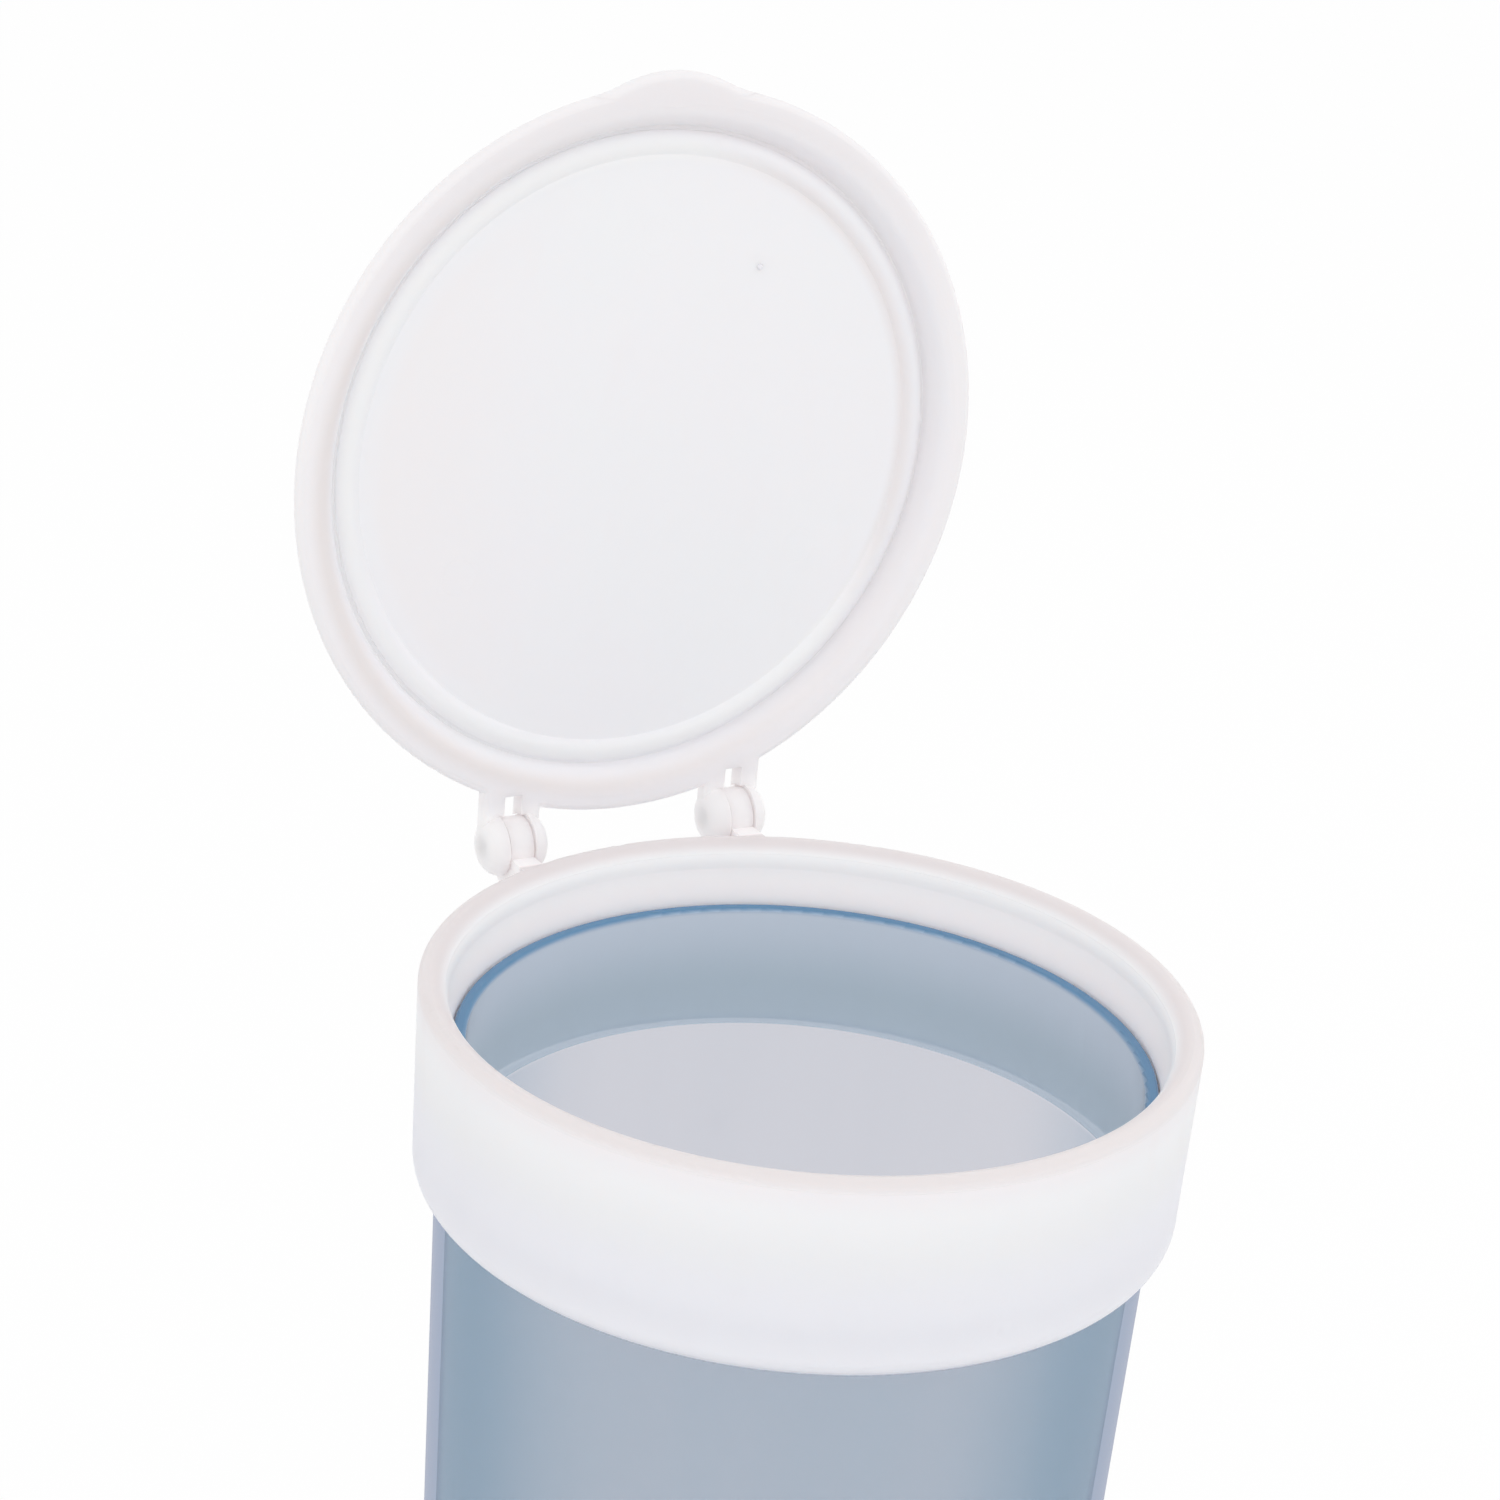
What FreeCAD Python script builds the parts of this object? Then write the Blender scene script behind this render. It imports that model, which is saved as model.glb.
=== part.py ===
import FreeCAD, Part

import math
import os

# Wide-mouth urine bottle with a hinged lid.
# Millimetres, +Z up, origin at the centre of the base, hinge at the back (+Y), hinge axis along X.
# The lid is drawn closed and then turned open about the hinge axis.

# Bottle body
body_height = 205.0
body_radius = 46.5
body_draft = 1.4
body_wall = 1.6
floor_thickness = 2.4
base_corner = 6.0
foot_width = 4.0
foot_relief = 1.2
centre_pad_radius = 14.0
neck_step = 1.25
neck_wall = 1.75
shoulder_step = 0.25
neck_blend_above = 4.0
neck_blend_below = 10.0
neck_blend_bow = 0.16
lip_round = 0.5
snap_bead = 0.6
snap_height = 8.5

# Graduation marks moulded on the front of the body
mark_step_volume = 100.0
mark_width = 9.0
mark_long_width = 15.0
mark_height = 0.9
mark_relief = 0.35
mark_offset = 12.0
mark_margin = 24.0

# Collar and seal
collar_height = 27.2
collar_wall = 4.55
collar_draft = 0.5
collar_lip_cover = 18.6
collar_skirt_overlap = 2.4
collar_rim_round = 1.25
collar_rim_flat = 0.15
collar_foot_round = 3.2
collar_mouth_round = 3.6
collar_bore_draft = 0.6
collar_fit = 0.2
seal_section = 1.2
seal_height = 3.0
seal_fit = 0.05

# Hinge
hinge_spacing = 34.2
hinge_gap = 0.8
knuckle_radius = 4.2
knuckle_round = 2.6
knuckle_cover = 0.4
cheek_width = 2.5
cheek_skin = 0.7
ear_width = 3.4
ear_drop = 11.0
ear_fit = 0.3
pin_radius = 1.1
pin_chamfer = 0.22
pin_running_fit = 0.05
pin_end_gap = 0.3

# Lid
lid_overhang = 0.5
lid_gap = 0.3
lid_flange = 2.2
lid_flange_width = 2.9
lid_edge_round = 1.0
lid_slope_width = 3.0
lid_dish = 3.0
lid_panel = 1.6
lid_groove_depth = 0.5
lid_bead_inset = 2.1
lid_bead_half = 1.6
lid_bead_height = 0.6
lid_slope_bow = 0.35
lid_land_flat = 1.4
lid_slope_steep = 0.4
arm_inset = 0.2
arm_thickness = 2.7
arm_edge_round = 0.8
window_width = 2.6
window_height = 3.2
tab_projection = 1.75
tab_radius = 18.0
tab_blend = 22.0
open_angle = 90.0

# Radii, heights and places that follow from the sizes above
collar_bottom = body_height - collar_lip_cover
collar_top = collar_bottom + collar_height
shoulder = collar_bottom + collar_skirt_overlap
neck_radius = body_radius - neck_step
bore_radius = neck_radius + collar_fit
collar_radius = bore_radius + collar_wall
lid_seat = collar_top + lid_gap
lid_radius = collar_radius + lid_overhang
lid_land_radius = lid_radius - lid_flange_width
lid_slope_radius = lid_land_radius - lid_slope_width
lid_bead_radius = lid_slope_radius - lid_bead_inset
tab_reach = lid_radius + tab_projection
ear_radius = knuckle_radius - knuckle_cover
knuckle_width = ear_width + 2 * (ear_fit + cheek_width)
pin_length = knuckle_width - 2 * (cheek_skin + pin_end_gap)
arm_width = knuckle_width - 2 * arm_inset
land_edge_radius = lid_radius - lid_edge_round - lid_land_flat
arm_root_radius = land_edge_radius + lid_land_flat / 2
hinge_sides = (-hinge_spacing / 2, hinge_spacing / 2)
knuckle_inner_x = (hinge_spacing - knuckle_width) / 2
hinge_reach = math.sqrt(collar_radius**2 - knuckle_inner_x**2) + hinge_gap + knuckle_radius
hinge_z = lid_seat
seal_bottom = shoulder + seal_height
seal_top = seal_bottom + seal_section
draft = math.tan(math.radians(body_draft))
quarter = 1 - math.sqrt(0.5)

origin = FreeCAD.Vector(0, 0, 0)
x_axis = FreeCAD.Vector(1, 0, 0)
z_axis = FreeCAD.Vector(0, 0, 1)
hinge_point = FreeCAD.Vector(0, hinge_reach, hinge_z)


def wall_radius(height):
    """Outer radius of the tapered wall at a height."""
    return body_radius - (collar_bottom - height) * draft


def neck_at(height):
    """Outer radius of the neck, which narrows from the shoulder to the lip."""
    foot_radius = wall_radius(shoulder) - shoulder_step
    share = (height - shoulder) / (body_height - shoulder)
    return foot_radius + (neck_radius - foot_radius) * share


def rz(radius, height):
    """A point of a turned outline."""
    return FreeCAD.Vector(radius, 0, height)


def line(start, end):
    return Part.LineSegment(start, end).toShape()


def arc(start, middle, end):
    return Part.Arc(start, middle, end).toShape()


def bulge(start, end, height):
    """An arc from start to end that bows to the left of its chord by a height."""
    chord = end - start
    side = FreeCAD.Vector(-chord.z, 0, chord.x).normalize()
    return arc(start, (start + end) * 0.5 + side * height, end)


def sweep(points):
    """A smooth curve from the first point to the last, drawn towards the ones between."""
    curve = Part.BezierCurve()
    curve.setPoles(points)
    return curve.toShape()


def turned(edges):
    """A full turn of a closed outline about the Z axis."""
    face = Part.Face(Part.Wire(edges))
    return face.revolve(origin, z_axis, 360)


def ring(outer, inner, bottom, top):
    shape = Part.makeCylinder(outer, top - bottom, rz(0, bottom))
    return shape.cut(Part.makeCylinder(inner, top - bottom, rz(0, bottom)))


def rod(radius, centre, width):
    """A cylinder along X about a centre."""
    start = centre - x_axis * (width / 2)
    return Part.makeCylinder(radius, width, start, x_axis)


def block(x_low, x_high, y_low, y_high, z_low, z_high):
    corner = FreeCAD.Vector(x_low, y_low, z_low)
    return Part.makeBox(x_high - x_low, y_high - y_low, z_high - z_low, corner)


# ---------------------------------------------------------------- bottle body

def body_outline():
    """The wall, base and neck in section, from the axis round to the axis."""
    base_radius = wall_radius(base_corner)
    foot_outer = base_radius - base_corner
    foot_inner = foot_outer - foot_width
    inner_corner = base_corner - body_wall
    floor = floor_thickness + foot_relief
    floor_radius = wall_radius(floor + inner_corner) - body_wall
    bead = shoulder + snap_height
    neck_inner = neck_radius - neck_wall
    blend_foot = shoulder - neck_blend_below
    blend_top = shoulder + neck_blend_above
    outer = [
        rz(0, 0),
        rz(centre_pad_radius, 0),
        rz(centre_pad_radius + foot_relief, foot_relief),
        rz(foot_inner - foot_relief, foot_relief),
        rz(foot_inner, 0),
        rz(foot_outer, 0),
    ]
    edges = [line(a, b) for a, b in zip(outer, outer[1:])]
    corner_end = rz(base_radius, base_corner)
    corner_middle = rz(base_radius - base_corner * quarter, base_corner * quarter)
    edges.append(arc(outer[-1], corner_middle, corner_end))
    shoulder_edge = rz(wall_radius(shoulder), shoulder)
    neck_foot = rz(neck_at(shoulder), shoulder)
    bead_low = rz(neck_at(bead - snap_bead), bead - snap_bead)
    bead_high = rz(neck_at(bead + snap_bead), bead + snap_bead)
    lip_outer = rz(neck_at(body_height - lip_round), body_height - lip_round)
    edges += [
        line(corner_end, shoulder_edge),
        line(shoulder_edge, neck_foot),
        line(neck_foot, bead_low),
        arc(bead_low, rz(neck_at(bead) + snap_bead, bead), bead_high),
        line(bead_high, lip_outer),
    ]
    crown_outer = rz(neck_radius - lip_round, body_height)
    crown_inner = rz(neck_inner + lip_round, body_height)
    lip_inner = rz(neck_inner, body_height - lip_round)
    cut = lip_round * quarter
    edges += [
        arc(lip_outer, rz(neck_radius - cut, body_height - cut), crown_outer),
        line(crown_outer, crown_inner),
        arc(crown_inner, rz(neck_inner + cut, body_height - cut), lip_inner),
    ]
    blend_high = rz(neck_at(blend_top) - neck_wall, blend_top)
    blend_low = rz(wall_radius(blend_foot) - body_wall, blend_foot)
    wall_foot = rz(floor_radius, floor + inner_corner)
    floor_edge = rz(floor_radius - inner_corner, floor)
    inner_middle = rz(floor_radius - inner_corner * quarter, floor + inner_corner * quarter)
    edges += [
        line(lip_inner, blend_high),
        bulge(blend_high, blend_low, neck_blend_bow),
        line(blend_low, wall_foot),
        arc(wall_foot, inner_middle, floor_edge),
        line(floor_edge, rz(0, floor)),
        line(rz(0, floor), rz(0, 0)),
    ]
    return edges


def fill_height(volume_ml):
    """Height at which the tapered inside holds a volume."""
    level = floor_thickness + foot_relief
    step = 0.25
    held = 0.0
    while held < volume_ml * 1000:
        inner = wall_radius(level) - body_wall
        held += math.pi * inner * inner * step
        level += step
    return level


def graduation_marks():
    """Raised bars on the front, one for each step of volume, every fifth one longer."""
    marks = []
    index = 1
    level = fill_height(mark_step_volume)
    while level < collar_bottom - mark_margin:
        low = level - mark_height / 2
        high = level + mark_height / 2
        crest = wall_radius(level) + mark_relief
        root = wall_radius(level) - body_wall / 2
        width = mark_long_width if index % 5 == 0 else mark_width
        window = block(mark_offset, mark_offset + width, -body_radius * 2, 0, low, high)
        marks.append(ring(crest, root, low, high).common(window))
        index += 1
        level = fill_height(index * mark_step_volume)
    return marks


def make_body():
    body = turned(body_outline())
    return body.fuse(graduation_marks()).removeSplitter()


# --------------------------------------------------------------- collar, seal

def bore_at(height):
    """Radius of the collar's bore, which follows the neck with a fit."""
    return neck_at(height) + collar_fit


seal_outer = bore_at(seal_bottom) + seal_section


def groove_edges(centre, half, crest):
    """The ends of a groove in the bore and its deepest point."""
    low = rz(bore_at(centre - half), centre - half)
    high = rz(bore_at(centre + half), centre + half)
    return low, rz(crest, centre), high


def collar_outline():
    """The collar in section: skirt, seal groove, snap groove, bore, rounded mouth and rim."""
    foot_radius = collar_radius - collar_draft
    skirt_inner = wall_radius(collar_bottom) + collar_fit
    bead = shoulder + snap_height
    mouth_radius = bore_radius + collar_bore_draft
    mouth_width = collar_wall - collar_bore_draft - collar_rim_flat - collar_rim_round
    skirt_foot = rz(skirt_inner, collar_bottom)
    skirt_top = rz(skirt_inner, shoulder)
    bore_foot = rz(bore_at(shoulder), shoulder)
    seal_low = rz(bore_at(seal_bottom), seal_bottom)
    seal_deep_low = rz(seal_outer, seal_bottom)
    seal_deep_high = rz(seal_outer, seal_top)
    seal_high = rz(bore_at(seal_top), seal_top)
    groove_crest = bore_at(bead) + snap_bead
    groove_low, groove_deep, groove_high = groove_edges(bead, snap_bead + collar_fit, groove_crest)
    bore_top = rz(bore_radius, body_height)
    mouth_low = rz(mouth_radius, collar_top - collar_mouth_round)
    mouth_high = rz(mouth_radius + mouth_width, collar_top)
    rim_inner = rz(collar_radius - collar_rim_round, collar_top)
    rim_outer = rz(collar_radius, collar_top - collar_rim_round)
    side_foot = rz(foot_radius, collar_bottom + collar_foot_round)
    skirt_depth = foot_radius - skirt_inner
    mouth_middle = rz(
        mouth_radius + mouth_width * quarter,
        collar_top - collar_mouth_round * quarter,
    )
    rim_middle = rz(
        collar_radius - collar_rim_round * quarter,
        collar_top - collar_rim_round * quarter,
    )
    foot_middle = rz(
        foot_radius - skirt_depth * quarter,
        collar_bottom + collar_foot_round * quarter,
    )
    return [
        line(skirt_foot, skirt_top),
        line(skirt_top, bore_foot),
        line(bore_foot, seal_low),
        line(seal_low, seal_deep_low),
        line(seal_deep_low, seal_deep_high),
        line(seal_deep_high, seal_high),
        line(seal_high, groove_low),
        arc(groove_low, groove_deep, groove_high),
        line(groove_high, bore_top),
        line(bore_top, mouth_low),
        arc(mouth_low, mouth_middle, mouth_high),
        line(mouth_high, rim_inner),
        arc(rim_inner, rim_middle, rim_outer),
        line(rim_outer, side_foot),
        arc(side_foot, foot_middle, skirt_foot),
    ]


def ear_shape(x_centre):
    """A plate that stands out of the collar's back and ends in a round head at the hinge."""
    start = x_centre - ear_width / 2
    wall_y = math.sqrt(collar_radius**2 - (hinge_spacing / 2 + ear_width / 2) ** 2)
    root_y = wall_y - (collar_radius - neck_radius) / 2
    foot_z = hinge_z - ear_drop
    shelf = collar_top - ear_fit
    span = math.hypot(hinge_reach - wall_y, ear_drop)
    slope = math.atan2(ear_drop, hinge_reach - wall_y) - math.asin(ear_radius / span)
    run = math.sqrt(span**2 - ear_radius**2)
    points = [
        (root_y, foot_z),
        (wall_y, foot_z),
        (wall_y + run * math.cos(slope), foot_z + run * math.sin(slope)),
        (hinge_reach, hinge_z),
        (hinge_reach, shelf),
        (root_y, shelf),
    ]
    corners = [FreeCAD.Vector(start, y, z) for y, z in points]
    web = Part.Face(Part.makePolygon(corners + corners[:1])).extrude(x_axis * ear_width)
    centre = FreeCAD.Vector(x_centre, hinge_reach, hinge_z)
    return web.fuse(rod(ear_radius, centre, ear_width))


def make_collar():
    collar = turned(collar_outline())
    core_radius = collar_radius - collar_rim_round
    inside = Part.makeCylinder(core_radius, collar_height * 2, rz(0, collar_bottom))
    for x_centre in hinge_sides:
        collar = collar.fuse(ear_shape(x_centre).cut(inside))
    collar = collar.removeSplitter()
    for x_centre in hinge_sides:
        centre = FreeCAD.Vector(x_centre, hinge_reach, hinge_z)
        collar = collar.cut(rod(pin_radius, centre, ear_width * 2))
    return collar


def make_seal():
    """A square ring in the collar's groove, pressed on the neck."""
    low = seal_bottom + seal_fit
    high = seal_top - seal_fit
    corners = [
        rz(neck_at(low) + seal_fit, low),
        rz(seal_outer - seal_fit, low),
        rz(seal_outer - seal_fit, high),
        rz(neck_at(high) + seal_fit, high),
    ]
    return turned([line(a, b) for a, b in zip(corners, corners[1:] + corners[:1])])


# ------------------------------------------------------------------------ lid

def lid_section():
    """The dished lid in section, closed: underside from the axis out, then the top back in."""
    base = lid_seat
    dish = base + lid_dish
    groove_z = dish + lid_groove_depth
    top = dish + lid_panel
    flange_top = base + lid_flange
    edge_low = rz(lid_radius - lid_edge_round, base)
    edge_high = rz(lid_radius - lid_edge_round, flange_top)
    edge_middle = rz(lid_radius, (base + flange_top) / 2)
    slope_foot = rz(lid_slope_radius, groove_z)
    groove_inner = rz(lid_bead_radius + lid_bead_half, groove_z)
    bead_outer = rz(lid_bead_radius + lid_bead_half, dish)
    bead_tip = rz(lid_bead_radius, dish - lid_bead_height)
    bead_inner = rz(lid_bead_radius - lid_bead_half, dish)
    shoulder_top = rz(lid_slope_radius - lid_panel / 2, top)
    shoulder_foot = rz(lid_land_radius, flange_top)
    land_edge = rz(land_edge_radius, base)
    steep_foot = rz(lid_slope_radius + lid_slope_steep, base + lid_dish / 2)
    land_lead = rz((lid_slope_radius + lid_land_radius) / 2, base)
    return [
        line(rz(0, dish), bead_inner),
        arc(bead_inner, bead_tip, bead_outer),
        line(bead_outer, groove_inner),
        line(groove_inner, slope_foot),
        sweep([slope_foot, steep_foot, land_lead, land_edge]),
        line(land_edge, edge_low),
        arc(edge_low, edge_middle, edge_high),
        line(edge_high, shoulder_foot),
        bulge(shoulder_foot, shoulder_top, -lid_slope_bow),
        line(shoulder_top, rz(0, top)),
        line(rz(0, top), rz(0, dish)),
    ]


def tab_shape():
    """The thumb tab at the front: a round tip blended into the rim on both sides."""
    tip_y = -(tab_reach - tab_radius)
    blend_reach = lid_radius + tab_blend
    tip_distance = tab_radius + tab_blend
    blend_y = -(blend_reach**2 - tip_distance**2 + tip_y**2) / (2 * -tip_y)
    blend_x = math.sqrt(blend_reach**2 - blend_y**2)
    rim_x = blend_x * lid_radius / blend_reach
    rim_y = blend_y * lid_radius / blend_reach
    tip_x = blend_x * tab_radius / tip_distance
    join_y = tip_y + (blend_y - tip_y) * tab_radius / tip_distance
    blend_middle = FreeCAD.Vector(rim_x + tip_x, rim_y + join_y, 0) * 0.5
    blend_centre = FreeCAD.Vector(blend_x, blend_y, 0)
    inward = (blend_middle - blend_centre).normalize() * tab_blend
    right_middle = blend_centre + inward
    left_middle = FreeCAD.Vector(-right_middle.x, right_middle.y, 0)
    rim_right = FreeCAD.Vector(rim_x, rim_y, 0)
    rim_left = FreeCAD.Vector(-rim_x, rim_y, 0)
    tip_right = FreeCAD.Vector(tip_x, join_y, 0)
    tip_left = FreeCAD.Vector(-tip_x, join_y, 0)
    tip = FreeCAD.Vector(0, -tab_reach, 0)
    root = FreeCAD.Vector(0, -lid_land_radius, 0)
    wire = Part.Wire([
        line(root, rim_right),
        arc(rim_right, right_middle, tip_right),
        arc(tip_right, tip, tip_left),
        arc(tip_left, left_middle, rim_left),
        line(rim_left, root),
    ])
    plate = Part.Face(wire).extrude(z_axis * lid_flange)
    curved = [edge for edge in plate.Edges if isinstance(edge.Curve, Part.Circle)]
    plate = plate.makeFillet(lid_edge_round, curved)
    plate.translate(rz(0, lid_seat))
    return plate


def arm_shape(x_centre):
    """An arm from the rim to a round knuckle, with a fork slot for the collar's ear."""
    half = arm_width / 2
    root_y = math.sqrt(arm_root_radius**2 - (abs(x_centre) + half) ** 2) - arm_thickness
    top = lid_seat + arm_thickness
    arm = block(x_centre - half, x_centre + half, root_y, hinge_reach, lid_seat, top)
    sides = [edge for edge in arm.Edges if abs(edge.tangentAt(edge.FirstParameter).y) > 0.9]
    arm = arm.makeFillet(arm_edge_round, sides)
    arm = arm.cut(Part.makeCylinder(arm_root_radius, arm_thickness, rz(0, lid_seat)))
    centre = FreeCAD.Vector(x_centre, hinge_reach, hinge_z)
    knuckle = rod(knuckle_radius, centre, knuckle_width)
    knuckle = knuckle.makeFillet(knuckle_round, knuckle.Edges)
    return arm.fuse(knuckle)


def arm_cuts(x_centre):
    """The fork slot, the window above the ear's head and the blind pin holes."""
    slot_half = ear_width / 2 + ear_fit
    slot_radius = ear_radius + ear_fit
    reach = knuckle_radius + arm_thickness
    centre = FreeCAD.Vector(x_centre, hinge_reach, hinge_z)
    slot = block(
        x_centre - slot_half, x_centre + slot_half,
        hinge_reach, hinge_reach + reach, hinge_z - reach, hinge_z + reach,
    )
    below = block(
        x_centre - slot_half, x_centre + slot_half,
        hinge_reach - reach, hinge_reach + reach, hinge_z - reach, hinge_z,
    )
    above = block(
        x_centre - slot_half, x_centre + slot_half,
        hinge_reach - reach, hinge_reach + reach, lid_seat + arm_thickness, hinge_z + reach,
    )
    head = rod(slot_radius, centre, slot_half * 2)
    half = window_width / 2
    window = block(
        x_centre - half, x_centre + half,
        hinge_reach - ear_radius - window_height, hinge_reach, lid_seat - reach, lid_seat + reach,
    )
    hole = rod(pin_radius + pin_running_fit, centre, pin_length + 2 * pin_end_gap)
    return slot.fuse([below, above, head, window, hole])


def opened(shape):
    """Turn a closed piece open about the hinge axis."""
    shape.rotate(hinge_point, x_axis, -open_angle)
    return shape


def make_lid():
    lid = turned(lid_section())
    lid = lid.fuse([tab_shape()] + [arm_shape(x) for x in hinge_sides])
    lid = lid.removeSplitter()
    for x_centre in hinge_sides:
        lid = lid.cut(arm_cuts(x_centre))
    return opened(lid)


# ------------------------------------------------------------------ hinge pins

def make_pin(x_centre):
    pin = rod(pin_radius, FreeCAD.Vector(x_centre, hinge_reach, hinge_z), pin_length)
    rims = [edge for edge in pin.Edges if edge.isClosed()]
    return pin.makeChamfer(pin_chamfer, rims)


parts = {
    "bottle_body": make_body(),
    "collar": make_collar(),
    "collar_seal": make_seal(),
    "lid": make_lid(),
    "hinge_pin_left": make_pin(hinge_sides[0]),
    "hinge_pin_right": make_pin(hinge_sides[1]),
}

os.makedirs("parts", exist_ok=True)
for name, shape in parts.items():
    print(name, len(shape.Solids), "solid", round(shape.Volume / 1000, 2), "cm3", shape.isValid())
    shape.exportStep("parts/" + name + ".step")
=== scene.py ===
import logging
import math
from dataclasses import dataclass, field
from enum import Enum
from typing import Any, Optional, Union

import bpy
from mathutils import Matrix, Vector


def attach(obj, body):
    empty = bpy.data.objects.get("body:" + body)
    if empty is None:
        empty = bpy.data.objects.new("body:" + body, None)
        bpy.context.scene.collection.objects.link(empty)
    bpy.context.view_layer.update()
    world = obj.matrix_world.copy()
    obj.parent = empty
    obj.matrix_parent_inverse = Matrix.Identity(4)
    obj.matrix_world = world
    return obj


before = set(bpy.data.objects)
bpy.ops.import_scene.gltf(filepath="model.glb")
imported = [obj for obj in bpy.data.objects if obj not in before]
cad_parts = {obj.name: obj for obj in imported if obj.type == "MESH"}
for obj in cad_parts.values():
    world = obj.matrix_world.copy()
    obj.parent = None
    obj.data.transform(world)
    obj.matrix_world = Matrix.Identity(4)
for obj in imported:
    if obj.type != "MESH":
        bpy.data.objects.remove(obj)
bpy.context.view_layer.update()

log = logging.getLogger("urine_bottle")

Colour = tuple[float, float, float]
Span = tuple[float, float]

MM = 0.001
HINGE_Y = 53.3864 * MM
HINGE_Z = 213.9 * MM
LID_CENTRE_Z = HINGE_Z + HINGE_Y
COLLAR_FOOT_Z = 186.4 * MM
COLLAR_TOP_Z = 213.6 * MM
LIP_Z = 205.0 * MM
MM3_PER_ML = 1000.0
WALL_DRAFT = math.tan(math.radians(1.4))
PLASTIC_IOR = 1.49
NO_LEAK: Colour = (0.0, 0.0, 0.0)
WHITE: Colour = (1.0, 1.0, 1.0)


class Rider(Enum):
    """The two bodies that pieces ride on."""

    BOTTLE = "bottle"
    LID = "lid"


class Slot(Enum):
    """Names of two material slots; nothing in this script uses them."""

    BLUE = "blue_plastic"
    LID = "lid_plastic"


# ------------------------------------------------------------------ shader maths


class Signal:
    """An output socket of a shader node, with arithmetic that adds Math nodes."""

    def __init__(self, graph: "Graph", socket: Any) -> None:
        """Wraps a socket.

        Args:
            graph: The graph that the socket's node belongs to.
            socket: The output socket.
        """
        self.graph = graph
        self.socket = socket

    def _math(self, operation: str, first: Any, second: Any = None) -> "Signal":
        """Adds a Math node.

        Args:
            operation: The Math node's operation.
            first: Its first value or signal.
            second: Its second value or signal, if the operation has one.

        Returns:
            The node's result.
        """
        inputs = {0: first} if second is None else {0: first, 1: second}
        return self.graph.node("ShaderNodeMath", {"operation": operation}, inputs)

    def __add__(self, other: Any) -> "Signal":
        """The sum."""
        return self._math("ADD", self, other)

    def __radd__(self, other: Any) -> "Signal":
        """The sum, with a plain number first."""
        return self._math("ADD", other, self)

    def __sub__(self, other: Any) -> "Signal":
        """The difference."""
        return self._math("SUBTRACT", self, other)

    def __rsub__(self, other: Any) -> "Signal":
        """The difference, with a plain number first."""
        return self._math("SUBTRACT", other, self)

    def __mul__(self, other: Any) -> "Signal":
        """The product."""
        return self._math("MULTIPLY", self, other)

    def __rmul__(self, other: Any) -> "Signal":
        """The product, with a plain number first."""
        return self._math("MULTIPLY", other, self)

    def __pow__(self, other: Any) -> "Signal":
        """The power."""
        return self._math("POWER", self, other)

    def size(self) -> "Signal":
        """The value without its sign."""
        return self._math("ABSOLUTE", self)

    def most(self, other: Any) -> "Signal":
        """The larger of two."""
        return self._math("MAXIMUM", self, other)

    def sine(self) -> "Signal":
        """The sine of an angle in radians."""
        return self._math("SINE", self)

    def root(self) -> "Signal":
        """The square root."""
        return self._math("SQRT", self)

    def ramp(self, low: float, high: float) -> "Signal":
        """A smooth step from 0 at low to 1 at high.

        Args:
            low: The value that gives 0.
            high: The value that gives 1, which may be below low.

        Returns:
            The smooth step.
        """
        return self.graph.node(
            "ShaderNodeMapRange",
            {"interpolation_type": "SMOOTHSTEP"},
            {"Value": self, "From Min": low, "From Max": high},
        )

    def band(self, centre: float, half: float) -> "Signal":
        """A smooth bump of 1 at centre that falls to 0 at half to either side.

        Args:
            centre: The value in the middle.
            half: How far the bump reaches to each side.

        Returns:
            The bump.
        """
        return (self - centre).size().ramp(half, 0.0)


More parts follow.
